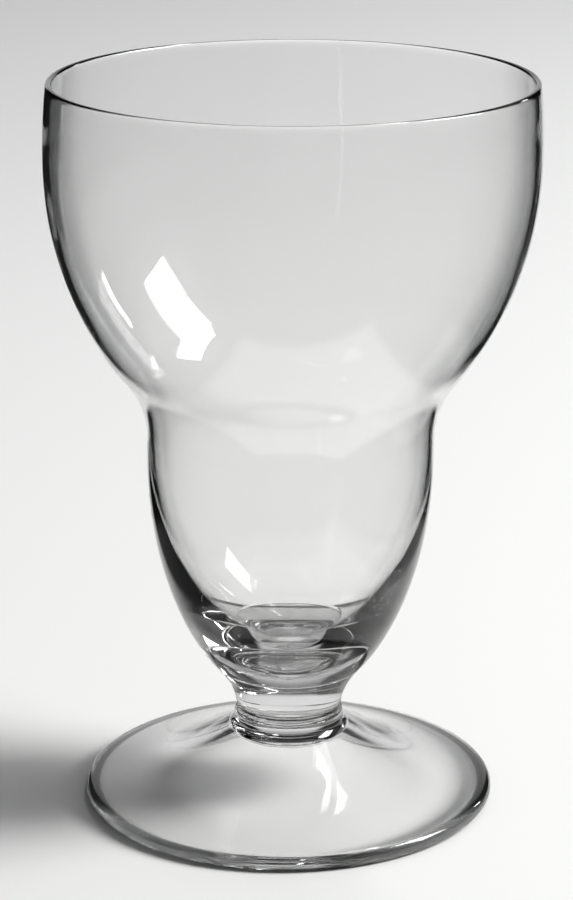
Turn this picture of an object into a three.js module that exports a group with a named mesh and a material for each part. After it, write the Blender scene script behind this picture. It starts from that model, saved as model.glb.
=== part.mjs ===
// A mouth-blown water goblet in clear glass, in millimetres, +Z up, standing on the table at Z = 0.
// It is three gathers of hot glass, welded on each other and never taken apart again:
// a foot, a short solid stem on it, and a bowl blown from one bubble with two bulges.
// Each piece is an outline in radius and height, turned about Z and set on the one below it.
import * as THREE from 'three';

const footSizes = {
  height: 17.8,          // table to the weld with the stem
  radius: 41,
  edgeThickness: 3.4,    // the rim of the foot is fully round
  collarRadius: 10.85,   // where the stem sits
  collarFillet: 3.4,     // from the collar down onto the slope
  fallAtCollar: 35,      // degrees below level, where the slope leaves the fillet
  fallAtEdge: 12,        // degrees below level, where it runs into the round edge
  wallAtCollar: 2.7,     // glass between the slope and the hollow underneath
  crownRise: 0.9,        // how much further the hollow goes up in its middle
  restRingWidth: 1.6,    // the flat that grinding and wear leave on the underside
  edgeRound: 0.35,       // the soft corner at the weld
};

const stemSizes = {
  height: 9.6,           // weld to weld
  neckRadius: 10.5,
  edgeRound: 0.35,
};
// How far the trumpet holds its direction at either end, as shares of the stem's height
const trumpetShares = { neck: 0.365, flare: 0.365 };

const bowlSizes = {
  heelRadius: 14.8,      // where the bowl sits on the stem
  bulgeHeight: 43.6,     // weld to the lower bulge's widest line
  waistRadius: 28.15,    // the lower bulge's widest line, and the waist above it
  waistBand: 4,          // the upright stretch between them
  waistFillet: 19,       // the hollow curve of the shoulder
  bellyRise: 56,         // waist to the upper bulge's widest line
  bellyRadius: 47.7,
  rimRise: 14.2,         // widest line to the top of the rim
  rimInset: 0.75,        // how far the rim is drawn in
  rimWall: 1.15,
  bellyWall: 1.3,
  waistWall: 1.4,
  baseThickness: 3,      // glass between the weld and the drink
};

// How many facets each kind of curve gets
const sideCount = 64;
const longCurveCount = 10;
const shortCurveCount = 6;
const softCornerCount = 3;
const roundEdgeCount = 8;

// Each halving finds the shoulder twice as closely
const halvingCount = 60;

// Points nearer to each other than this share of the foot's radius are one point
const samePointShare = 1e-4;

function at(radius, height) {
  return new THREE.Vector2(radius, height);
}

// The soft corner that hot glass takes, drawn from one point to another round a sharp corner
function softCorner(from, corner, to) {
  return new THREE.QuadraticBezierCurve(from, corner, to).getPoints(softCornerCount);
}

// Joins stretches into one outline, keeping a single point where two of them meet
function joinStretches(stretches) {
  const outline = [];
  for (const point of stretches.flat()) {
    const last = outline[outline.length - 1];
    const repeated = last !== undefined && last.distanceTo(point) < samePointShare * footSizes.radius;
    if (!repeated) {
      outline.push(point);
    }
  }
  return outline;
}

// Clear soda glass. The thicker the piece, the greyer and the less clear it looks.
function clearGlass(color, opacity) {
  return new THREE.MeshStandardMaterial({
    color,
    opacity,
    roughness: 0.04,
    metalness: 0,
    transparent: true,
  });
}

// An outline turned about the axis into one closed body, standing at its own height
function turnedPiece(name, outline, material, standsAt) {
  const geometry = new THREE.LatheGeometry(outline, sideCount);
  geometry.rotateX(Math.PI / 2);
  const piece = new THREE.Mesh(geometry, material);
  piece.name = name;
  piece.position.z = standsAt;
  return piece;
}

// A hollow slope, steeper where it starts than where it ends. Both falls are in degrees below level.
function hollowSlope(from, fallAtStart, to, fallAtEnd) {
  const start = THREE.MathUtils.degToRad(fallAtStart);
  const end = THREE.MathUtils.degToRad(fallAtEnd);
  const leaving = at(Math.cos(start), -Math.sin(start));
  const arriving = at(Math.cos(end), -Math.sin(end));
  const reach = to.clone().sub(from).cross(arriving) / leaving.cross(arriving);
  return new THREE.QuadraticBezierCurve(from, from.clone().addScaledVector(leaving, reach), to);
}

// The foot was spread from one gather, so its underside follows the slope on top of it
function footOutline() {
  const { height, radius, edgeThickness, collarRadius, collarFillet, fallAtCollar, fallAtEdge } = footSizes;
  const { wallAtCollar, crownRise, restRingWidth, edgeRound } = footSizes;
  const collarTurn = THREE.MathUtils.degToRad(fallAtCollar);
  const edgeTurn = THREE.MathUtils.degToRad(fallAtEdge);
  const edgeRadius = edgeThickness / 2;
  const edgeCentre = at(radius - edgeRadius, edgeRadius);
  const filletCentre = at(collarRadius + collarFillet, height - edgeRound);
  const offCollar = at(-Math.sin(collarTurn), -Math.cos(collarTurn));
  const slopeStart = filletCentre.clone().addScaledVector(offCollar, collarFillet);
  const offEdge = at(Math.sin(edgeTurn), Math.cos(edgeTurn));
  const slopeEnd = edgeCentre.clone().addScaledVector(offEdge, edgeRadius);
  const hollowStart = slopeStart.clone().addScaledVector(offCollar, wallAtCollar);
  const crownHeight = hollowStart.y + crownRise;
  const crownEdge = at(hollowStart.x - crownRise / Math.tan(collarTurn), crownHeight);
  const crown = new THREE.QuadraticBezierCurve(at(0, crownHeight), crownEdge, hollowStart);
  const underside = hollowSlope(hollowStart, fallAtCollar, at(edgeCentre.x - restRingWidth, 0), fallAtEdge);
  const edge = new THREE.EllipseCurve(
    edgeCentre.x, edgeCentre.y, edgeRadius, edgeRadius, -Math.PI / 2, Math.PI / 2 - edgeTurn);
  const slope = hollowSlope(slopeStart, fallAtCollar, slopeEnd, fallAtEdge);
  const fillet = new THREE.EllipseCurve(
    filletCentre.x, filletCentre.y, collarFillet, collarFillet, -Math.PI / 2 - collarTurn, -Math.PI, true);
  const collarTop = at(collarRadius, height - edgeRound);
  const weldEdge = at(collarRadius - edgeRound, height);

  return joinStretches([
    crown.getPoints(softCornerCount),
    underside.getPoints(shortCurveCount),
    edge.getPoints(roundEdgeCount),
    slope.getPoints(shortCurveCount).reverse(),
    fillet.getPoints(shortCurveCount),
    softCorner(collarTop, at(collarRadius, height), weldEdge),
    [at(0, height)],
  ]);
}

// The lower bulge is an ellipse about its widest line. This is how far down that ellipse would reach.
function bulgeHalfHeight() {
  const { heelRadius, bulgeHeight, waistRadius } = bowlSizes;
  return bulgeHeight / Math.sqrt(1 - (heelRadius / waistRadius) ** 2);
}

// The direction in which the bulge leaves the stem, so that stem and bowl are one smooth line
function heelDirection() {
  const { heelRadius, bulgeHeight, waistRadius } = bowlSizes;
  const outward = (waistRadius / bulgeHalfHeight()) ** 2 * bulgeHeight / heelRadius;
  return at(outward, 1).normalize();
}

// The stem is a trumpet: upright at the neck, then opening out to carry the bowl
function stemOutline() {
  const { height, neckRadius, edgeRound } = stemSizes;
  const neckEnd = at(neckRadius, edgeRound);
  const flareEnd = at(bowlSizes.heelRadius, height);
  const trumpet = new THREE.CubicBezierCurve(
    neckEnd,
    at(neckRadius, edgeRound + height * trumpetShares.neck),
    flareEnd.clone().addScaledVector(heelDirection(), -height * trumpetShares.flare),
    flareEnd);

  return joinStretches([
    [at(0, 0)],
    softCorner(at(neckRadius - edgeRound, 0), at(neckRadius, 0), neckEnd),
    trumpet.getPoints(longCurveCount),
    [at(0, height)],
  ]);
}

// The shoulder's fillet turns outwards from upright until it runs into the belly's ellipse.
// This finds by halving how far it turns, for an ellipse centred on the axis at the belly's height.
function shoulderTurn(bellyRadius, bellyHeight, filletCentre, filletRadius) {
  let least = 0;
  let most = Math.PI / 2;
  for (let step = 0; step < halvingCount; step += 1) {
    const turn = (least + most) / 2;
    const radius = filletCentre.x - filletRadius * Math.cos(turn);
    const below = bellyHeight - filletCentre.y - filletRadius * Math.sin(turn);
    const short = (bellyRadius ** 2 - radius ** 2) - Math.tan(turn) * below * radius;
    if (short > 0) {
      least = turn;
    } else {
      most = turn;
    }
  }
  return (least + most) / 2;
}

// One face of the bowl from the waist up to the rim's roundness. The outer face has no inset;
// the inner one lies the wall's thickness inside it, and the fillet's centre serves both.
function upperFace(walls) {
  const { bulgeHeight, waistRadius, waistBand, waistFillet } = bowlSizes;
  const { bellyRise, bellyRadius, rimRise, rimInset, rimWall } = bowlSizes;
  const waistTop = bulgeHeight + waistBand;
  const bellyHeight = waistTop + bellyRise;
  const rimCentre = bellyHeight + rimRise - rimWall / 2;
  const faceRadius = bellyRadius - walls.belly;
  const filletRadius = waistFillet + walls.waist;
  const filletCentre = at(waistRadius + waistFillet, waistTop);
  const turn = shoulderTurn(faceRadius, bellyHeight, filletCentre, filletRadius);
  const shoulderRadius = filletCentre.x - filletRadius * Math.cos(turn);
  const shoulderBelow = bellyHeight - filletCentre.y - filletRadius * Math.sin(turn);
  const ellipseHalfHeight = shoulderBelow / Math.sqrt(1 - (shoulderRadius / faceRadius) ** 2);
  const shoulderAngle = -Math.asin(shoulderBelow / ellipseHalfHeight);

  const fillet = new THREE.EllipseCurve(
    filletCentre.x, filletCentre.y, filletRadius, filletRadius, Math.PI, Math.PI - turn, true);
  const shoulder = new THREE.EllipseCurve(
    0, bellyHeight, faceRadius, ellipseHalfHeight, shoulderAngle, 0);
  const drawnIn = new THREE.QuadraticBezierCurve(
    at(faceRadius, bellyHeight),
    at(faceRadius, (bellyHeight + rimCentre) / 2),
    at(bellyRadius - rimInset - walls.rim, rimCentre));
  return joinStretches([
    fillet.getPoints(shortCurveCount),
    shoulder.getPoints(longCurveCount),
    drawnIn.getPoints(softCornerCount),
  ]);
}

// The outer face of the lower bulge, from its heel on the stem up to the waist
function bulgeFace() {
  const { bulgeHeight, waistRadius } = bowlSizes;
  const halfHeight = bulgeHalfHeight();
  const heelAngle = -Math.asin(bulgeHeight / halfHeight);
  const bulge = new THREE.EllipseCurve(0, bulgeHeight, waistRadius, halfHeight, heelAngle, 0);
  return bulge.getPoints(longCurveCount);
}

// The bottom of the drink: the lower half of an ellipse, so the glass thickens towards the stem
function cavityFloor() {
  const { bulgeHeight, waistRadius, waistWall, baseThickness } = bowlSizes;
  const floor = new THREE.EllipseCurve(
    0, bulgeHeight, waistRadius - waistWall, bulgeHeight - baseThickness, 0, -Math.PI / 2, true);
  return floor.getPoints(longCurveCount);
}

function bowlOutline() {
  const { bellyRadius, rimInset, rimWall, bellyWall, waistWall } = bowlSizes;
  const outer = upperFace({ waist: 0, belly: 0, rim: 0 });
  const inner = upperFace({ waist: waistWall, belly: bellyWall, rim: rimWall });
  const rimCentre = at(bellyRadius - rimInset - rimWall / 2, outer[outer.length - 1].y);
  const rim = new THREE.EllipseCurve(rimCentre.x, rimCentre.y, rimWall / 2, rimWall / 2, 0, Math.PI);
  return joinStretches([
    [at(0, 0)],
    bulgeFace(),
    outer,
    rim.getPoints(roundEdgeCount),
    inner.reverse(),
    cavityFloor(),
  ]);
}

function foot() {
  return turnedPiece('foot', footOutline(), clearGlass('#dfe3e4', 0.4), 0);
}

function stem() {
  return turnedPiece('stem', stemOutline(), clearGlass('#d3d8da', 0.5), footSizes.height);
}

function bowl() {
  return turnedPiece('bowl', bowlOutline(), clearGlass('#e9ecec', 0.3), footSizes.height + stemSizes.height);
}

const goblet = new THREE.Group();
goblet.add(foot(), stem(), bowl());

export default goblet;
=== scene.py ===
import math

import bpy
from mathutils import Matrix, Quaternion, Vector


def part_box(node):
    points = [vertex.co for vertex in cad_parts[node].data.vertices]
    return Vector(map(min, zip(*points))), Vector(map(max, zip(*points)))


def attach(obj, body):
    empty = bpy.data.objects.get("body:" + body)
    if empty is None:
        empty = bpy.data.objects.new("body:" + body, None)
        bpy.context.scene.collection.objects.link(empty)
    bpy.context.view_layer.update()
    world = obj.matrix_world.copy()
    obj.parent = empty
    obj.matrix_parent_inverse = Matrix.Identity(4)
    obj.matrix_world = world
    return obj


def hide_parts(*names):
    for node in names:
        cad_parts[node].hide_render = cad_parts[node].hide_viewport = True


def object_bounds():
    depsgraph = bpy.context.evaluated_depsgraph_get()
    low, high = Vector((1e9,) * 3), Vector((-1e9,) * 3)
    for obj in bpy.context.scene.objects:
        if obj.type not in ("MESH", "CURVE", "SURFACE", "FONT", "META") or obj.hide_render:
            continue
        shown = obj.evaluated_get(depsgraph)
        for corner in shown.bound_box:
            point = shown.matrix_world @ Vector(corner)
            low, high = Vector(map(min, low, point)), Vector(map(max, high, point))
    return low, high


# A mouth-blown water goblet in clear glass, on pale paper that runs back out of the picture. Black
# felt on the table and a dark side of the room draw the lines in the glass, as in a studio.
# Lengths in the dictionaries are millimetres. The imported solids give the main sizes, and each
# gather of glass is turned again from its outline, finely and with a glassblower's unevenness.

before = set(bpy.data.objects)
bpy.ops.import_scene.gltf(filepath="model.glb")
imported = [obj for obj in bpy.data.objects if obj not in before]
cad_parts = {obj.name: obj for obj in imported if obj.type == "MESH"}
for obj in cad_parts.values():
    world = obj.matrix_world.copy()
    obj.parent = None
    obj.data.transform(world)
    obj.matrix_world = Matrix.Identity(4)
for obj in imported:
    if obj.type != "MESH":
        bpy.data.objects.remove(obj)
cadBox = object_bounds()
scene = bpy.context.scene
scene.view_settings.view_transform = "Standard"
mm = 0.001


def nodeSizes(node):
    low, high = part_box(node)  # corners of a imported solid, in metres
    return {"radius": (high[0] - low[0]) / 2 / mm, "bottom": low[2] / mm, "top": high[2] / mm}


def srgb(code):
    def linear(share):
        return share / 12.92 if share <= 0.04045 else ((share + 0.055) / 1.055) ** 2.4

    parts = [int(code[place:place + 2], 16) / 255 for place in (1, 3, 5)]
    return (*[linear(part) for part in parts], 1.0)


def addNode(tree, kind, inputs=None, **settings):
    # one node, its settings, and for each input a socket to link or a value to set
    node = tree.nodes.new(kind)
    for name, value in settings.items():
        setattr(node, name, value)
    for name, value in (inputs or {}).items():
        if isinstance(value, bpy.types.NodeSocket):
            tree.links.new(value, node.inputs[name])
        else:
            node.inputs[name].default_value = value
    return node


def setStops(ramp, stops):
    # the colours along a ramp, each with its place
    while len(ramp.elements) < len(stops):
        ramp.elements.new(0.5)  # between the two that it has
    for element, (place, colour) in zip(ramp.elements, stops):
        element.position = place
        element.color = srgb(colour)


# Camera, fitted to the rim and foot ellipses of the photograph

view = {
    "distance": 557.0,  # along the table, from the goblet's axis
    "height": 244.4,
    "pitchDegrees": 17.22,
    "lens": 118.7,
    "sensor": 36.0,
    "axisFromMiddle": 2.1,  # pixels of the photograph's 900, the goblet stands this far right
    "photoHeight": 900,
}


def makeCamera():
    data = bpy.data.cameras.new("studioCamera")
    data.lens = view["lens"]
    data.sensor_width = view["sensor"]
    data.shift_x = -view["axisFromMiddle"] / view["photoHeight"]
    camera = bpy.data.objects.new("studioCamera", data)
    scene.collection.objects.link(camera)
    camera.location = (0, -view["distance"] * mm, view["height"] * mm)
    camera.rotation_euler = (math.radians(90 - view["pitchDegrees"]), 0, 0)
    scene.camera = camera


makeCamera()
print("camera placed")


# Outlines, as points of radius and height in millimetres, from the bottom of the axis outwards,
# up and back to the axis, so that the turned faces look out

curves = {
    "long": 44,  # steps along a curve
    "short": 22,
    "round": 14,
    "corner": 6,
    "samePoint": 0.002,  # two points nearer than this are one
    "longestRun": 2.0,  # from one point to the next
    "halvings": 50,  # tries to find where two curves meet
}


def ellipse(centre, radii, start, end, steps):
    turns = [start + (end - start) * step / steps for step in range(steps + 1)]
    return [(centre[0] + radii[0] * math.cos(t), centre[1] + radii[1] * math.sin(t)) for t in turns]


def bezier(points, steps):
    # a curve through its first and last point, pulled by the ones between
    line = []
    for step in range(steps + 1):
        share = step / steps
        left = [Vector(point) for point in points]
        while len(left) > 1:
            left = [a.lerp(b, share) for a, b in zip(left, left[1:])]
        line.append(tuple(left[0]))
    return line


def joined(*stretches):
    # one line of points, with a single point where two stretches meet
    line = []
    for point in [point for stretch in stretches for point in stretch]:
        if not line or math.dist(line[-1], point) > curves["samePoint"]:
            line.append(point)
    return line


def evened(line):
    # long straight runs get points between, so that the unevenness has something to move
    fine = [line[0]]
    for start, end in zip(line, line[1:]):
        steps = max(1, math.ceil(math.dist(start, end) / curves["longestRun"]))
        fine += [tuple(Vector(start).lerp(Vector(end), step / steps)) for step in range(1, steps + 1)]
    return fine


# Turning: the outline becomes a closed body of revolution, slightly uneven as hot glass is

hand = {
    "swellLength": 26.0,  # from one swelling to the next
    "swellDetail": 1.0,
    "swellStep": 0.012,  # how far the swelling differs from one point of the outline to the next
    "evenNear": 5.0,  # the surface strays less than this far from a weld, the table or the axis
    "rimLean": 0.9,  # the bowl was set on slightly out of true
    "seed": 7.0,
    "merge": 0.0005,  # corners nearer than this are one
    "flatNear": 0.001,  # a face this near to a flat ring's height belongs to it
}


def turningTree():
    tree = bpy.data.node_groups.new("turnedGather", "GeometryNodeTree")
    sockets = {
        "Outline": "NodeSocketGeometry",
        "Sides": "NodeSocketInt",
        "Swell": "NodeSocketFloat",
        "Swell Length": "NodeSocketFloat",
        "Even Near": "NodeSocketFloat",
        "Even Below": "NodeSocketFloat",
        "Even Above": "NodeSocketFloat",
        "Lean": "NodeSocketFloat",
        "Lean From": "NodeSocketFloat",
        "Seed": "NodeSocketFloat",
        "Glass": "NodeSocketMaterial",
        "Lower Ring": "NodeSocketFloat",
        "Upper Ring": "NodeSocketFloat",
    }
    for name, kind in sockets.items():
        tree.interface.new_socket(name, in_out="INPUT", socket_type=kind)
    tree.interface.new_socket("Body", in_out="OUTPUT", socket_type="NodeSocketGeometry")
    given = addNode(tree, "NodeGroupInput").outputs

    # a grid with a row for each point of the outline and a column for each side
    count = addNode(tree, "GeometryNodeAttributeDomainSize", {0: given["Outline"]}, component="MESH")
    columns = addNode(tree, "ShaderNodeMath", {0: given["Sides"], 1: 1.0}, operation="ADD").outputs[0]
    grid = addNode(tree, "GeometryNodeMeshGrid", {
        "Vertices X": count.outputs["Point Count"], "Vertices Y": columns})
    index = addNode(tree, "GeometryNodeInputIndex").outputs[0]
    row = addNode(tree, "ShaderNodeMath", {0: index, 1: 0.5}, operation="ADD").outputs[0]
    row = addNode(tree, "ShaderNodeMath", {0: row, 1: columns}, operation="DIVIDE").outputs[0]
    row = addNode(tree, "ShaderNodeMath", {0: row}, operation="FLOOR").outputs[0]
    before = addNode(tree, "ShaderNodeMath", {0: row, 1: columns}, operation="MULTIPLY").outputs[0]
    column = addNode(tree, "ShaderNodeMath", {0: index, 1: before}, operation="SUBTRACT").outputs[0]
    turn = addNode(tree, "ShaderNodeMath", {0: column, 1: given["Sides"]}, operation="DIVIDE").outputs[0]
    turn = addNode(tree, "ShaderNodeMath", {0: turn, 1: -2 * math.pi}, operation="MULTIPLY").outputs[0]
    cosine = addNode(tree, "ShaderNodeMath", {0: turn}, operation="COSINE").outputs[0]
    sine = addNode(tree, "ShaderNodeMath", {0: turn}, operation="SINE").outputs[0]
    outward = addNode(tree, "ShaderNodeCombineXYZ", {"X": cosine, "Y": sine}).outputs[0]
    here = addNode(tree, "GeometryNodeInputPosition").outputs[0]
    point = addNode(tree, "GeometryNodeSampleIndex", {
        "Geometry": given["Outline"], "Value": here, "Index": row}, data_type="FLOAT_VECTOR").outputs[0]
    radius, _, height = addNode(tree, "ShaderNodeSeparateXYZ", {0: point}).outputs

    # the swelling, told apart on the inner and the outer face by the place along the outline
    upward = addNode(tree, "ShaderNodeCombineXYZ", {"Z": height}).outputs[0]
    there = addNode(tree, "ShaderNodeVectorMath", {
        0: outward, "Scale": radius}, operation="SCALE").outputs[0]
    there = addNode(tree, "ShaderNodeVectorMath", {0: there, 1: upward}, operation="ADD").outputs[0]
    scale = addNode(tree, "ShaderNodeMath", {
        0: 1.0, 1: given["Swell Length"]}, operation="DIVIDE").outputs[0]
    there = addNode(tree, "ShaderNodeVectorMath", {
        0: there, "Scale": scale}, operation="SCALE").outputs[0]
    seed = addNode(tree, "ShaderNodeMath", {
        0: row, 1: hand["swellStep"]}, operation="MULTIPLY").outputs[0]
    seed = addNode(tree, "ShaderNodeMath", {0: seed, 1: given["Seed"]}, operation="ADD").outputs[0]
    noise = addNode(tree, "ShaderNodeTexNoise", {
        "Vector": there, "W": seed, "Scale": 1.0, "Detail": hand["swellDetail"]},
        noise_dimensions="4D").outputs[0]
    stray = addNode(tree, "ShaderNodeMath", {0: noise, 1: 0.5}, operation="SUBTRACT").outputs[0]
    most = addNode(tree, "ShaderNodeMath", {0: given["Swell"], 1: 2.0}, operation="MULTIPLY").outputs[0]
    stray = addNode(tree, "ShaderNodeMath", {0: stray, 1: most}, operation="MULTIPLY").outputs[0]
    free = 1.0
    for far, near in ((height, given["Even Below"]), (given["Even Above"], height), (radius, 0.0)):
        away = addNode(tree, "ShaderNodeMath", {0: far, 1: near}, operation="SUBTRACT").outputs[0]
        away = addNode(tree, "ShaderNodeMath", {
            0: away, 1: given["Even Near"]}, operation="DIVIDE", use_clamp=True).outputs[0]
        free = addNode(tree, "ShaderNodeMath", {0: away, 1: free}, operation="MULTIPLY").outputs[0]
    stray = addNode(tree, "ShaderNodeMath", {0: stray, 1: free}, operation="MULTIPLY").outputs[0]
    lean = addNode(tree, "ShaderNodeMath", {
        0: height, 1: given["Lean From"]}, operation="SUBTRACT").outputs[0]
    lean = addNode(tree, "ShaderNodeMath", {0: lean, 1: 0.0}, operation="MAXIMUM").outputs[0]
    lean = addNode(tree, "ShaderNodeMath", {0: lean, 1: given["Lean"]}, operation="MULTIPLY").outputs[0]

    reach = addNode(tree, "ShaderNodeMath", {0: radius, 1: stray}, operation="ADD").outputs[0]
    place = addNode(tree, "ShaderNodeVectorMath", {
        0: outward, "Scale": reach}, operation="SCALE").outputs[0]
    lifted = addNode(tree, "ShaderNodeCombineXYZ", {"X": lean, "Z": height}).outputs[0]
    place = addNode(tree, "ShaderNodeVectorMath", {0: place, 1: lifted}, operation="ADD").outputs[0]
    body = addNode(tree, "GeometryNodeSetPosition", {
        "Geometry": grid.outputs["Mesh"], "Position": place}).outputs[0]
    body = addNode(tree, "GeometryNodeMergeByDistance", {
        "Geometry": body, "Distance": hand["merge"] * mm}).outputs[0]
    body = addNode(tree, "GeometryNodeSetShadeSmooth", {"Geometry": body}).outputs[0]

    # the narrow rings of faces at a weld stay flat
    middle = addNode(tree, "ShaderNodeSeparateXYZ", {0: here}).outputs[2]
    for ring in ("Lower Ring", "Upper Ring"):
        flat = addNode(tree, "FunctionNodeCompare", {
            "A": middle, "B": given[ring], "Epsilon": hand["flatNear"] * mm},
            data_type="FLOAT", operation="EQUAL").outputs[0]
        body = addNode(tree, "GeometryNodeSetShadeSmooth", {
            "Geometry": body, "Selection": flat, "Shade Smooth": False}).outputs[0]
    body = addNode(tree, "GeometryNodeRealizeInstances", {"Geometry": body}).outputs[0]
    body = addNode(tree, "GeometryNodeSetMaterial", {
        "Geometry": body, "Material": given["Glass"]}).outputs[0]
    addNode(tree, "NodeGroupOutput", {"Body": body})
    return tree


def turnedPiece(name, line, tree, inputs):
    # the outline is the modifier's mesh, and the result is kept as a plain one
    mesh = bpy.data.meshes.new(name + "Outline")
    places = [(radius * mm, 0, height * mm) for radius, height in line]
    mesh.from_pydata(places, [(step, step + 1) for step in range(len(places) - 1)], [])
    outline = bpy.data.objects.new(name + "Outline", mesh)
    scene.collection.objects.link(outline)
    modifier = outline.modifiers.new("turning", "NODES")
    modifier.node_group = tree
    keys = {item.name: item.identifier for item in tree.interface.items_tree if item.in_out == "INPUT"}
    for socket, value in inputs.items():
        modifier[keys[socket]] = value
    graph = bpy.context.evaluated_depsgraph_get()
    turned = bpy.data.meshes.new_from_object(outline.evaluated_get(graph), depsgraph=graph)
    turned.name = name
    outline.modifiers.remove(modifier)
    bpy.data.objects.remove(outline)
    piece = bpy.data.objects.new(name, turned)
    scene.collection.objects.link(piece)
    return piece


# Glass

glass = {
    "ior": 1.5,
    "polish": 0.0,  # roughness where the fire has polished it
    "weldNear": 0.01,  # a face this near to a weld's height lets light straight through
    "absorption": 0.009,  # per millimetre, from the iron in the sand
    "deepTint": "#101312",
    "ringLength": 5.0,  # from one turning ripple to the next
    "ringDrift": 0.12,  # how little the ripples change round the goblet
    "ringDetail": 1.0,
    "ringDepth": 0.006,
    "flowLength": 11.0,  # soft lenses where the glass ran
    "flowDetail": 0.0,
    "flowDepth": 0.03,
    "seedSpacing": 16.0,
    "seedRadius": 0.22,
    "seedDepth": 0.05,
    "wornHeight": 0.35,  # scratches on the ring that the foot rests on
    "wornRoughness": 0.3,
    "tint": "#fefefe",
    "paintedEdgeShade": "#9a9c9c",  # painted shade: greys the glass where it is seen at a grazing angle, which darkens its edges
    "grazingTurn": (0.5, 1.0),
    # what a face lets through to the table, by its height: the solid stem bends nearly all of the
    # light away, the bowl some of it and the foot's slope none
    "shadowStops": [(0.0, "#ffffff"), (12.0, "#ffffff"), (17.0, "#8e9090"),
                    (34.0, "#8e9090"), (44.0, "#cccece"), (145.0, "#cccece")],
    "beadFrom": (37.4, 38.2),  # the foot's round edge bends light away too, and begins at this radius
    "beadBelow": 6.0,
    "beadShadow": "#565858",
    "beadAmbient": "#666868",
    "shadowGrazing": "#5a5c5c",  # so does every face that the light only grazes
    "shadowTurn": (0.45, 0.95),
    "ambientTint": "#f9faf9",
}


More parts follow.
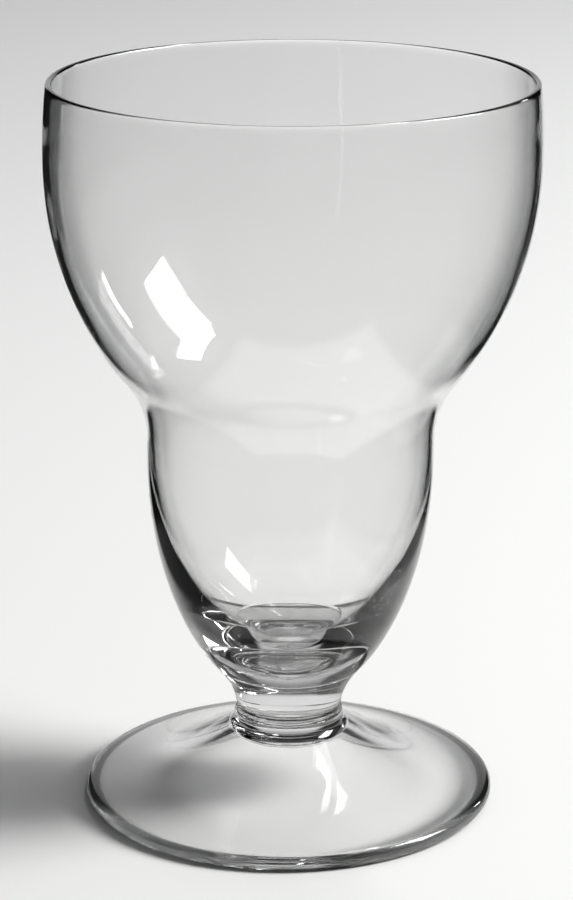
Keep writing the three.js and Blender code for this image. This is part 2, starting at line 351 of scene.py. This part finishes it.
def blownSodaGlass():
    # soda-lime glass, blown, turned and fire-polished: mirror smooth, with faint rings and lenses
    # from the turning that make straight things behind it swim, and a rare seed
    material = bpy.data.materials.new("blownSodaGlass")
    material.use_nodes = True
    tree = material.node_tree
    tree.nodes.clear()
    place = addNode(tree, "ShaderNodeTexCoord").outputs["Object"]
    x, y, z = addNode(tree, "ShaderNodeSeparateXYZ", {0: place}).outputs
    flat = addNode(tree, "ShaderNodeCombineXYZ", {"X": x, "Y": y}).outputs[0]
    radius = addNode(tree, "ShaderNodeVectorMath", {0: flat}, operation="LENGTH").outputs["Value"]
    slow = addNode(tree, "ShaderNodeMath", {
        0: x, 1: glass["ringDrift"]}, operation="MULTIPLY").outputs[0]
    turned = addNode(tree, "ShaderNodeCombineXYZ", {"X": radius, "Y": slow, "Z": z}).outputs[0]
    rings = addNode(tree, "ShaderNodeTexNoise", {
        "Vector": turned, "Scale": 1 / (glass["ringLength"] * mm),
        "Detail": glass["ringDetail"]}).outputs[0]
    flow = addNode(tree, "ShaderNodeTexNoise", {
        "Vector": place, "Scale": 1 / (glass["flowLength"] * mm),
        "Detail": glass["flowDetail"]}).outputs[0]
    seeds = addNode(tree, "ShaderNodeTexVoronoi", {
        "Vector": place, "Scale": 1 / (glass["seedSpacing"] * mm)}).outputs["Distance"]
    seeds = addNode(tree, "ShaderNodeMapRange", {
        "Value": seeds, "From Min": 0.0, "From Max": glass["seedRadius"] / glass["seedSpacing"],
        "To Min": 1.0, "To Max": 0.0}, interpolation_type="SMOOTHSTEP").outputs[0]
    wearAndPaintedShade = addNode(tree, "ShaderNodeMapRange", {
        "Value": z, "From Min": 0.0, "From Max": glass["wornHeight"] * mm,
        "To Min": glass["wornRoughness"], "To Max": glass["polish"]}).outputs[0]
    normal = addNode(tree, "ShaderNodeBump", {
        "Distance": glass["flowDepth"] * mm, "Height": flow}).outputs[0]
    normal = addNode(tree, "ShaderNodeBump", {
        "Distance": glass["ringDepth"] * mm, "Height": rings, "Normal": normal}).outputs[0]
    normal = addNode(tree, "ShaderNodeBump", {
        "Distance": glass["seedDepth"] * mm, "Height": seeds, "Normal": normal}).outputs[0]
    facing = addNode(tree, "ShaderNodeLayerWeight").outputs["Facing"]
    # painted shade: the glass is tinted greyer where it is seen at a grazing angle, darkening its edges
    edgeShade = addNode(tree, "ShaderNodeMapRange", {
        "Value": facing, "From Min": glass["grazingTurn"][0],
        "From Max": glass["grazingTurn"][1]}).outputs[0]
    edgeShade = addNode(tree, "ShaderNodeMix", {
        0: edgeShade, 6: srgb(glass["tint"]), 7: srgb(glass["paintedEdgeShade"])}, data_type="RGBA").outputs[2]
    clear = addNode(tree, "ShaderNodeBsdfPrincipled", {
        "Base Color": edgeShade, "Transmission Weight": 1.0, "IOR": glass["ior"],
        "Roughness": wearAndPaintedShade, "Normal": normal}).outputs[0]

    # where two gathers are fused hot they are one glass, and light crosses without bending
    welds = [addNode(tree, "ShaderNodeMath", {
        0: z, 1: nodeSizes(node)["top"] * mm, 2: glass["weldNear"] * mm},
        operation="COMPARE").outputs[0] for node in ("foot", "stem")]
    atWeld = addNode(tree, "ShaderNodeMath", {0: welds[0], 1: welds[1]}, operation="MAXIMUM").outputs[0]
    through = addNode(tree, "ShaderNodeBsdfTransparent").outputs[0]

    # lamps and the pale table still reach what stands behind the glass
    rays = addNode(tree, "ShaderNodeLightPath").outputs
    low = addNode(tree, "ShaderNodeMath", {
        0: z, 1: glass["beadBelow"] * mm}, operation="LESS_THAN").outputs[0]
    bead = addNode(tree, "ShaderNodeMapRange", {
        "Value": radius, "From Min": glass["beadFrom"][0] * mm, "From Max": glass["beadFrom"][1] * mm,
        "To Max": low}).outputs[0]
    dimmed = addNode(tree, "ShaderNodeMix", {
        0: bead, 6: srgb(glass["ambientTint"]), 7: srgb(glass["beadAmbient"])},
        data_type="RGBA").outputs[2]
    ambient = addNode(tree, "ShaderNodeBsdfTransparent", {"Color": dimmed}).outputs[0]
    grazing = addNode(tree, "ShaderNodeMapRange", {
        "Value": facing, "From Min": glass["shadowTurn"][0], "From Max": glass["shadowTurn"][1]},
        interpolation_type="SMOOTHSTEP").outputs[0]
    tallest = glass["shadowStops"][-1][0]
    raised = addNode(tree, "ShaderNodeMath", {0: z, 1: tallest * mm}, operation="DIVIDE").outputs[0]
    byHeight = addNode(tree, "ShaderNodeValToRGB", {"Fac": raised})
    stops = [(height / tallest, colour) for height, colour in glass["shadowStops"]]
    setStops(byHeight.color_ramp, stops)
    cast = addNode(tree, "ShaderNodeMix", {
        0: grazing, 6: byHeight.outputs[0], 7: srgb(glass["shadowGrazing"])},
        data_type="RGBA").outputs[2]
    cast = addNode(tree, "ShaderNodeMix", {
        0: bead, 6: cast, 7: srgb(glass["beadShadow"])}, data_type="RGBA").outputs[2]
    shadow = addNode(tree, "ShaderNodeBsdfTransparent", {"Color": cast}).outputs[0]
    seen = clear
    for share, other in ((rays["Is Diffuse Ray"], ambient), (rays["Is Shadow Ray"], shadow),
                         (atWeld, through)):
        seen = addNode(tree, "ShaderNodeMixShader", {0: share, 1: seen, 2: other}).outputs[0]
    depth = addNode(tree, "ShaderNodeVolumeAbsorption", {
        "Color": srgb(glass["deepTint"]), "Density": glass["absorption"] / mm}).outputs[0]
    addNode(tree, "ShaderNodeOutputMaterial", {"Surface": seen, "Volume": depth})
    return material


clearGlass = blownSodaGlass()
turning = turningTree()
print("glass and turning ready")


def gather(node, shape, line):
    # turns one gather of glass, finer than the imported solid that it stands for
    weld, top = nodeSizes("foot")["top"], nodeSizes("bowl")["top"]
    apart, nowhere = glass["weldNear"] / 2, -1.0
    line = evened(line)
    if node != "foot":
        line[0] = (0, shape["bottom"] + apart)  # the middle of the weld stands up by a hair
    piece = turnedPiece(node + "Glass", line, turning, {
        "Sides": shape["sides"],
        "Swell": shape["swell"] * mm,
        "Swell Length": hand["swellLength"] * mm,
        "Even Near": hand["evenNear"] * mm,
        "Even Below": shape["bottom"] * mm,
        "Even Above": shape["top"] * mm,
        "Lean": hand["rimLean"] / (top - weld) if node != "foot" else 0.0,
        "Lean From": weld * mm,
        "Seed": hand["seed"],
        "Glass": clearGlass,
        "Lower Ring": (shape["bottom"] + apart) * mm if node != "foot" else nowhere,
        "Upper Ring": (shape["top"] - apart) * mm if node != "bowl" else nowhere,
    })
    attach(piece, "root")
    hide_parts(node)


# Foot: one gather spread into a hollow-sided cone of even thickness, with a round edge

footShape = {
    **nodeSizes("foot"),
    "sides": 320,  # its hollow shows them first
    "swell": 0.02,  # how far the surface strays in or out: it was pressed flat, and spun
    "edgeThickness": 3.4,
    "collarRadius": 10.85,
    "collarFillet": 3.4,
    "fallAtCollar": 35.0,  # degrees below level
    "fallAtEdge": 12.0,
    "wallAtCollar": 3.7,
    "crownRise": 0.9,  # of the hollow, above where its slope begins
    "restRing": 1.6,
    "cornerRound": 0.35,
}


def hollowSlope(start, startFall, end, endFall):
    # a slope that is steeper where it starts than where it ends
    leaving = Vector((math.cos(startFall), -math.sin(startFall)))
    arriving = Vector((math.cos(endFall), -math.sin(endFall)))
    across = Vector(end) - Vector(start)
    reach = across.cross(arriving) / leaving.cross(arriving)
    return bezier([start, tuple(Vector(start) + leaving * reach), end], curves["long"])


def footLine():
    s = footShape
    collarFall, edgeFall = math.radians(s["fallAtCollar"]), math.radians(s["fallAtEdge"])
    edge = s["edgeThickness"] / 2
    edgeCentre = (s["radius"] - edge, edge)
    filletCentre = (s["collarRadius"] + s["collarFillet"], s["top"] - s["cornerRound"])
    offCollar = Vector((-math.sin(collarFall), -math.cos(collarFall)))
    slopeStart = Vector(filletCentre) + offCollar * s["collarFillet"]
    slopeEnd = Vector(edgeCentre) + Vector((math.sin(edgeFall), math.cos(edgeFall))) * edge
    hollowStart = slopeStart + offCollar * s["wallAtCollar"]
    crown = hollowStart.y + s["crownRise"]
    crownEdge = hollowStart.x - s["crownRise"] / math.tan(collarFall)
    quarter = math.pi / 2
    return joined(
        bezier([(0, crown), (crownEdge, crown), tuple(hollowStart)], curves["short"]),
        hollowSlope(tuple(hollowStart), collarFall, (edgeCentre[0] - s["restRing"], 0), edgeFall),
        ellipse(edgeCentre, (edge, edge), -quarter, quarter - edgeFall, curves["short"]),
        hollowSlope(tuple(slopeStart), collarFall, tuple(slopeEnd), edgeFall)[::-1],
        ellipse(filletCentre, [s["collarFillet"]] * 2, -quarter - collarFall, -math.pi, curves["round"]),
        bezier([(s["collarRadius"], filletCentre[1]), (s["collarRadius"], s["top"]),
                (s["collarRadius"] - s["cornerRound"], s["top"])], curves["corner"]),
        [(0, s["top"])],
    )


gather("foot", footShape, footLine())
print("foot turned")


# Bowl: one bubble with two bulges, thick under the drink and thin at the rim

bowlShape = {
    **nodeSizes("bowl"),
    "sides": 256,
    "swell": 0.11,
    "heelRadius": 14.8,
    "bulgeHeight": 43.6,
    "waistRadius": 28.15,
    "waistBand": 4.0,
    "waistFillet": 19.0,
    "bellyRise": 56.0,
    "rimInset": 0.75,
    "rimWall": 1.15,
    "bellyWall": 1.3,
    "waistWall": 1.4,
    "base": 3.0,  # of glass under the drink
}


def bulgeHalfHeight():
    s = bowlShape
    return s["bulgeHeight"] / math.sqrt(1 - (s["heelRadius"] / s["waistRadius"]) ** 2)


def shoulderTurn(faceRadius, bellyHeight, filletCentre, filletRadius):
    # halves its way to where the fillet of the shoulder runs smoothly into the belly's ellipse
    least, most = 0.0, math.pi / 2
    for _ in range(curves["halvings"]):
        turn = (least + most) / 2
        radius = filletCentre[0] - filletRadius * math.cos(turn)
        below = bellyHeight - filletCentre[1] - filletRadius * math.sin(turn)
        if faceRadius ** 2 - radius ** 2 > math.tan(turn) * below * radius:
            least = turn
        else:
            most = turn
    return (least + most) / 2


def upperFace(waistWall, bellyWall, rimWall):
    # one face of the wall from the waist to the rim; the outer one has walls of 0
    s = bowlShape
    waistTop = s["bottom"] + s["bulgeHeight"] + s["waistBand"]
    bellyHeight = waistTop + s["bellyRise"]
    rimCentre = s["top"] - s["rimWall"] / 2
    faceRadius, filletRadius = s["radius"] - bellyWall, s["waistFillet"] + waistWall
    centre = (s["waistRadius"] + s["waistFillet"], waistTop)
    turn = shoulderTurn(faceRadius, bellyHeight, centre, filletRadius)
    radius = centre[0] - filletRadius * math.cos(turn)
    below = bellyHeight - centre[1] - filletRadius * math.sin(turn)
    halfHeight = below / math.sqrt(1 - (radius / faceRadius) ** 2)
    return joined(
        ellipse(centre, (filletRadius, filletRadius), math.pi, math.pi - turn, curves["short"]),
        ellipse((0, bellyHeight), (faceRadius, halfHeight),
                -math.asin(below / halfHeight), 0, curves["long"]),
        bezier([(faceRadius, bellyHeight), (faceRadius, (bellyHeight + rimCentre) / 2),
                (s["radius"] - s["rimInset"] - rimWall, rimCentre)], curves["round"]),
    )


def bowlLine():
    s = bowlShape
    widest = s["bottom"] + s["bulgeHeight"]
    halfHeight = bulgeHalfHeight()
    heel = -math.asin(s["bulgeHeight"] / halfHeight)
    outer = upperFace(0, 0, 0)
    inner = upperFace(s["waistWall"], s["bellyWall"], s["rimWall"])
    rim = s["rimWall"] / 2
    cavity = (s["waistRadius"] - s["waistWall"], s["bulgeHeight"] - s["base"])
    return joined(
        [(0, s["bottom"])],
        ellipse((0, widest), (s["waistRadius"], halfHeight), heel, 0, curves["long"]),
        outer,
        ellipse((s["radius"] - s["rimInset"] - rim, outer[-1][1]), (rim, rim),
                0, math.pi, curves["round"]),
        inner[::-1],
        ellipse((0, widest), cavity, 0, -math.pi / 2, curves["long"]),
    )


gather("bowl", bowlShape, bowlLine())
print("bowl turned")


# Stem: a solid trumpet, upright at the neck and running on into the bowl's line

stemShape = {
    **nodeSizes("stem"),
    "sides": 256,
    "swell": 0.11,
    "neckRadius": 10.5,
    "cornerRound": 0.35,
    "neckHandleShare": 0.365,  # of the stem's height, how far each end pulls the curve
    "flareHandleShare": 0.365,
}


def stemLine():
    s, bowl = stemShape, bowlShape
    tall = s["top"] - s["bottom"]
    spread = (bowl["waistRadius"] / bulgeHalfHeight()) ** 2 * bowl["bulgeHeight"] / bowl["heelRadius"]
    along = Vector((spread, 1)).normalized()
    neckEnd = (s["neckRadius"], s["bottom"] + s["cornerRound"])
    flareEnd = Vector((bowl["heelRadius"], s["top"]))
    return joined(
        [(0, s["bottom"])],
        bezier([(s["neckRadius"] - s["cornerRound"], s["bottom"]),
                (s["neckRadius"], s["bottom"]), neckEnd], curves["corner"]),
        bezier([neckEnd, (s["neckRadius"], neckEnd[1] + tall * s["neckHandleShare"]),
                tuple(flareEnd - along * tall * s["flareHandleShare"]),
                tuple(flareEnd)], curves["long"]),
        [(0, s["top"])],
    )


gather("stem", stemShape, stemLine())
print("stem turned")


# The table: matte white paper that runs back, with painted shade that greys it towards the upper left,
# where less light falls

paper = {
    "radius": 2600.0,
    "sides": 96,
    "white": "#f6f6f5",
    "shadedGrey": "#e4e4e4",
    "shadeTowards": (-0.55, 1.0, 0.0),
    "shadeFrom": -160.0,  # along that direction
    "shadeTo": 900.0,
    "roughness": 0.85,
    "specular": 0.2,
    "fibre": 1.2,
    "fibreDetail": 3.0,
    "fibreDepth": 0.02,
}


def coatedPaper():
    # matte coated paper: white with barely a grain, and painted shade that greys it towards the upper
    # left
    material = bpy.data.materials.new("coatedPaper")
    material.use_nodes = True
    tree = material.node_tree
    tree.nodes.clear()
    place = addNode(tree, "ShaderNodeTexCoord").outputs["Object"]
    # painted shade: the paper darkens along this direction, where less light falls
    towards = addNode(tree, "ShaderNodeVectorMath", {
        0: place, 1: paper["shadeTowards"]}, operation="DOT_PRODUCT").outputs["Value"]
    shadedGrey = addNode(tree, "ShaderNodeMapRange", {
        "Value": towards, "From Min": paper["shadeFrom"] * mm, "From Max": paper["shadeTo"] * mm},
        interpolation_type="SMOOTHSTEP").outputs[0]
    colour = addNode(tree, "ShaderNodeMix", {
        0: shadedGrey, 6: srgb(paper["white"]), 7: srgb(paper["shadedGrey"])}, data_type="RGBA").outputs[2]
    fibre = addNode(tree, "ShaderNodeTexNoise", {
        "Vector": place, "Scale": 1 / (paper["fibre"] * mm), "Detail": paper["fibreDetail"]}).outputs[0]
    normal = addNode(tree, "ShaderNodeBump", {
        "Distance": paper["fibreDepth"] * mm, "Height": fibre}).outputs[0]
    matte = addNode(tree, "ShaderNodeBsdfPrincipled", {
        "Base Color": colour, "Roughness": paper["roughness"], "Specular IOR Level": paper["specular"],
        "Normal": normal}).outputs[0]
    addNode(tree, "ShaderNodeOutputMaterial", {"Surface": matte})
    return material


def stagePiece(name, points, faces, material):
    mesh = bpy.data.meshes.new(name)
    mesh.from_pydata(points, [], faces)
    mesh.materials.append(material)
    piece = bpy.data.objects.new(name, mesh)
    scene.collection.objects.link(piece)
    return piece


def ringPoints(radius, height, sides):
    turns = [2 * math.pi * side / sides for side in range(sides)]
    return [(radius * mm * math.cos(t), radius * mm * math.sin(t), height * mm) for t in turns]


tableEdge = ringPoints(paper["radius"], 0, paper["sides"])
stagePiece("table", tableEdge, [tuple(range(paper["sides"]))], coatedPaper())


# Black felt on the table, past the paper that the picture shows. It draws the dark lines in the
# edges of a clear glass. Nothing but glass shows it: near the goblet only by light that a glass
# surface has thrown back, and far behind it straight through as well.

felt = {
    "height": 0.5,
    "inner": 60.0,
    "outer": 2600.0,
    "sides": 180,
    "colour": "#1c1c1c",
    # the felt starts this far towards the camera, and this far to each side at the goblet and
    # further with each millimetre back; on the right never nearer than the last width
    "frontReach": 105.0,
    "leftReach": 68.0,
    "leftSpread": 0.16,
    "rightReach": 26.0,
    "rightSpread": 0.37,
    "rightLeast": 88.0,
    "farFrom": (380.0, 420.0),  # this far back it is also seen straight through the glass
    "wearAndPaintedShade": "#5c5c5c",  # painted reflection of shaded table: greyer near the goblet, out to these radii
    "paintedNearTo": (140.0, 165.0),
    "paintedNearRight": "#a4a4a4",  # painted reflection: lighter near it, but behind it on the right
    "edge": 7.0,  # half the softness of its edges
}


def thrownBack(tree):
    # 1 for light that a surface has thrown back on its way, 0 for what is seen straight through
    depth = addNode(tree, "ShaderNodeLightPath").outputs["Glossy Depth"]
    return addNode(tree, "ShaderNodeMath", {0: depth, 1: 0.5}, operation="GREATER_THAN").outputs[0]


def blackFelt():
    # black wool felt: it swallows nearly all light; it glows with its colour instead of being lit, and
    # near the goblet that colour is a painted reflection
    material = bpy.data.materials.new("blackFelt")
    material.use_nodes = True
    tree = material.node_tree
    tree.nodes.clear()
    place = addNode(tree, "ShaderNodeTexCoord").outputs["Object"]
    x, y, _ = addNode(tree, "ShaderNodeSeparateXYZ", {0: place}).outputs
    flat = addNode(tree, "ShaderNodeCombineXYZ", {"X": x, "Y": y}).outputs[0]
    radius = addNode(tree, "ShaderNodeVectorMath", {0: flat}, operation="LENGTH").outputs["Value"]
    leftEnd = addNode(tree, "ShaderNodeMath", {
        0: y, 1: -felt["leftSpread"], 2: -felt["leftReach"] * mm}, operation="MULTIPLY_ADD").outputs[0]
    rightEnd = addNode(tree, "ShaderNodeMath", {
        0: y, 1: felt["rightSpread"], 2: felt["rightReach"] * mm}, operation="MULTIPLY_ADD").outputs[0]
    rightEnd = addNode(tree, "ShaderNodeMath", {
        0: rightEnd, 1: felt["rightLeast"] * mm}, operation="MAXIMUM").outputs[0]
    pastLeft = addNode(tree, "ShaderNodeMath", {0: leftEnd, 1: x}, operation="SUBTRACT").outputs[0]
    pastRight = addNode(tree, "ShaderNodeMath", {0: x, 1: rightEnd}, operation="SUBTRACT").outputs[0]
    pastFront = addNode(tree, "ShaderNodeMath", {
        0: y, 1: -1.0, 2: -felt["frontReach"] * mm}, operation="MULTIPLY_ADD").outputs[0]
    past = addNode(tree, "ShaderNodeMath", {0: pastLeft, 1: pastRight}, operation="MAXIMUM").outputs[0]
    past = addNode(tree, "ShaderNodeMath", {0: past, 1: pastFront}, operation="MAXIMUM").outputs[0]

    soft = (-felt["edge"], felt["edge"])
    spans = {"outer": (radius, felt["paintedNearTo"]), "past": (past, soft), "far": (y, felt["farFrom"]),
             "right": (x, soft), "behind": (y, soft)}
    share = {}
    for name, (value, (start, end)) in spans.items():
        share[name] = addNode(tree, "ShaderNodeMapRange", {
            "Value": value, "From Min": start * mm, "From Max": end * mm},
            interpolation_type="SMOOTHSTEP").outputs[0]
    found = addNode(tree, "ShaderNodeMath", {
        0: thrownBack(tree), 1: share["far"]}, operation="MAXIMUM").outputs[0]
    shown = addNode(tree, "ShaderNodeMath", {
        0: share["past"], 1: found}, operation="MULTIPLY").outputs[0]
    # painted reflection: near the goblet the felt is greyer, and lighter behind it on the right
    behindRight = addNode(tree, "ShaderNodeMath", {
        0: share["right"], 1: share["behind"]}, operation="MULTIPLY").outputs[0]
    near = addNode(tree, "ShaderNodeMix", {
        0: behindRight, 6: srgb(felt["wearAndPaintedShade"]), 7: srgb(felt["paintedNearRight"])}, data_type="RGBA").outputs[2]
    colour = addNode(tree, "ShaderNodeMix", {
        0: share["outer"], 6: near, 7: srgb(felt["colour"])}, data_type="RGBA").outputs[2]
    none = addNode(tree, "ShaderNodeBsdfTransparent").outputs[0]
    wool = addNode(tree, "ShaderNodeEmission", {"Color": colour}).outputs[0]
    mixed = addNode(tree, "ShaderNodeMixShader", {0: shown, 1: none, 2: wool}).outputs[0]
    addNode(tree, "ShaderNodeOutputMaterial", {"Surface": mixed})
    return material


def layFelt():
    sides = felt["sides"]
    points = [point for radius in (felt["inner"], felt["outer"])
              for point in ringPoints(radius, felt["height"], sides)]
    faces = [(side, sides + side, sides + after, after)
             for side, after in ((side, (side + 1) % sides) for side in range(sides))]
    sheet = stagePiece("felt", points, faces, blackFelt())
    sheet.visible_camera = False
    sheet.visible_diffuse = False
    sheet.visible_shadow = False


layFelt()
print("table and felt set")


# Light

lamps = {
    # turn from +X and height in degrees, as the highlights in the bowl place them
    "keySoftbox": {"turn": 1, "height": 38, "distance": 2600,
                   "size": (900, 1300), "roll": 0, "watts": 90.0},
    "topSoftbox": {"turn": 57, "height": 61, "distance": 1300,
                   "size": (634, 80), "roll": -33, "watts": 2.4},
    "stripSoftbox": {"turn": 42, "height": 14, "distance": 1300,
                     "size": (70, 240), "roll": 0, "watts": 0.8},
}
room = {
    "camera": "#f2f2f2",
    "ambient": "#f2f2f2",
    "ambientStrength": 0.14,
    "dark": "#1a1a1a",  # the unlit side of the studio
    # colours by the share of a direction that points up: the paper behind, which runs up there,
    # and the lit wall beside the lamp
    "paperBehind": [(0.0, "#f0f0f0"), (0.2, "#e4e4e4"), (0.36, "#d6d6d6"), (0.5, "#b8b8b8"),
                    (0.62, "#9c9c9c"), (0.75, "#888888"), (0.9, "#707070"), (1.0, "#606060")],
    "wallBeside": [(0.0, "#7c7c7c"), (0.2, "#646464"), (0.35, "#8c8c8c"), (0.47, "#cacaca"),
                   (0.7, "#a0a0a0"), (1.0, "#5c5c5c")],
    # each of them starts between these shares of a level direction, backwards and to the right
    "behindTurn": (0.90, 0.95),
    "besideTurn": (0.60, 0.80),
    "besideBack": (-0.6, -0.3),  # the wall ends towards the camera
    "overheadFrom": (0.35, 0.6),  # from this high up the solid glass shows the room straight too
    "overheadTurn": (0.3, 0.5),  # and its dark side only at the back
}


def makeLamp(name, lamp):
    data = bpy.data.lights.new(name, "AREA")
    data.shape = "RECTANGLE"
    data.size, data.size_y = [side * mm for side in lamp["size"]]
    data.energy = lamp["watts"]
    softbox = bpy.data.objects.new(name, data)
    scene.collection.objects.link(softbox)
    turn, height = math.radians(lamp["turn"]), math.radians(lamp["height"])
    away = Vector((math.cos(turn) * math.cos(height),
                   math.sin(turn) * math.cos(height), math.sin(height)))
    softbox.location = Vector((0, 0, (cadBox[0][2] + cadBox[1][2]) / 2)) + away * lamp["distance"] * mm
    roll = Quaternion((0, 0, 1), math.radians(lamp["roll"]))
    softbox.rotation_euler = (away.to_track_quat("Z", "Y") @ roll).to_euler()


def studioRoom():
    # Light thrown back inside the glass finds a dark room, with the paper running up behind and a
    # lit wall on the lamp's side. What is seen straight, past the table's end or through the
    # glass, is pale. The table gets an even light from it.
    world = bpy.data.worlds.new("studioRoom")
    scene.world = world
    world.use_nodes = True
    tree = world.node_tree
    tree.nodes.clear()
    direction = addNode(tree, "ShaderNodeTexCoord").outputs["Generated"]
    x, y, z = addNode(tree, "ShaderNodeSeparateXYZ", {0: direction}).outputs
    level = addNode(tree, "ShaderNodeCombineXYZ", {"X": x, "Y": y}).outputs[0]
    level = addNode(tree, "ShaderNodeVectorMath", {0: level}, operation="NORMALIZE").outputs[0]
    rightwards, backwards, _ = addNode(tree, "ShaderNodeSeparateXYZ", {0: level}).outputs
    height = addNode(tree, "ShaderNodeMath", {0: z, 1: 0.0}, operation="MAXIMUM").outputs[0]

    spans = {"besideTurn": rightwards, "besideBack": backwards, "behindTurn": backwards,
             "overheadTurn": backwards, "overheadFrom": height}
    share = {}
    for name, value in spans.items():
        share[name] = addNode(tree, "ShaderNodeMapRange", {
            "Value": value, "From Min": room[name][0], "From Max": room[name][1]},
            interpolation_type="SMOOTHSTEP").outputs[0]
    rising = {}
    for name in ("wallBeside", "paperBehind"):
        byHeight = addNode(tree, "ShaderNodeValToRGB", {"Fac": height})
        setStops(byHeight.color_ramp, room[name])
        rising[name] = byHeight.outputs[0]
    beside = addNode(tree, "ShaderNodeMath", {
        0: share["besideTurn"], 1: share["besideBack"]}, operation="MULTIPLY").outputs[0]
    dim = addNode(tree, "ShaderNodeMix", {
        0: beside, 6: srgb(room["dark"]), 7: rising["wallBeside"]}, data_type="RGBA").outputs[2]
    dim = addNode(tree, "ShaderNodeMix", {
        0: share["behindTurn"], 6: dim, 7: rising["paperBehind"]}, data_type="RGBA").outputs[2]
    overhead = addNode(tree, "ShaderNodeMix", {
        0: share["overheadTurn"], 6: rising["paperBehind"], 7: dim}, data_type="RGBA").outputs[2]
    straight = addNode(tree, "ShaderNodeMix", {
        0: share["overheadFrom"], 6: srgb(room["camera"]), 7: overhead}, data_type="RGBA").outputs[2]
    shown = addNode(tree, "ShaderNodeMix", {
        0: thrownBack(tree), 6: straight, 7: dim}, data_type="RGBA").outputs[2]

    rays = addNode(tree, "ShaderNodeLightPath").outputs
    inGlass = addNode(tree, "ShaderNodeMath", {
        0: rays["Is Glossy Ray"], 1: rays["Is Transmission Ray"]}, operation="MAXIMUM").outputs[0]
    pale = addNode(tree, "ShaderNodeBackground", {"Color": srgb(room["camera"])}).outputs[0]
    even = addNode(tree, "ShaderNodeBackground", {
        "Color": srgb(room["ambient"]), "Strength": room["ambientStrength"]}).outputs[0]
    glassy = addNode(tree, "ShaderNodeBackground", {"Color": shown}).outputs[0]
    mixed = addNode(tree, "ShaderNodeMixShader", {0: rays["Is Camera Ray"], 1: even, 2: pale}).outputs[0]
    mixed = addNode(tree, "ShaderNodeMixShader", {0: inGlass, 1: mixed, 2: glassy}).outputs[0]
    addNode(tree, "ShaderNodeOutputWorld", {"Surface": mixed})


for lampName, lampSizes in lamps.items():
    makeLamp(lampName, lampSizes)
studioRoom()
print("lit")


# Light bends many times in a glass this thick, and bent light makes no hard caustics on the table

bounces = 28
for kind in ("max_bounces", "transmission_bounces", "glossy_bounces", "transparent_max_bounces"):
    setattr(scene.cycles, kind, bounces)
scene.cycles.caustics_refractive = False
scene.cycles.caustics_reflective = False
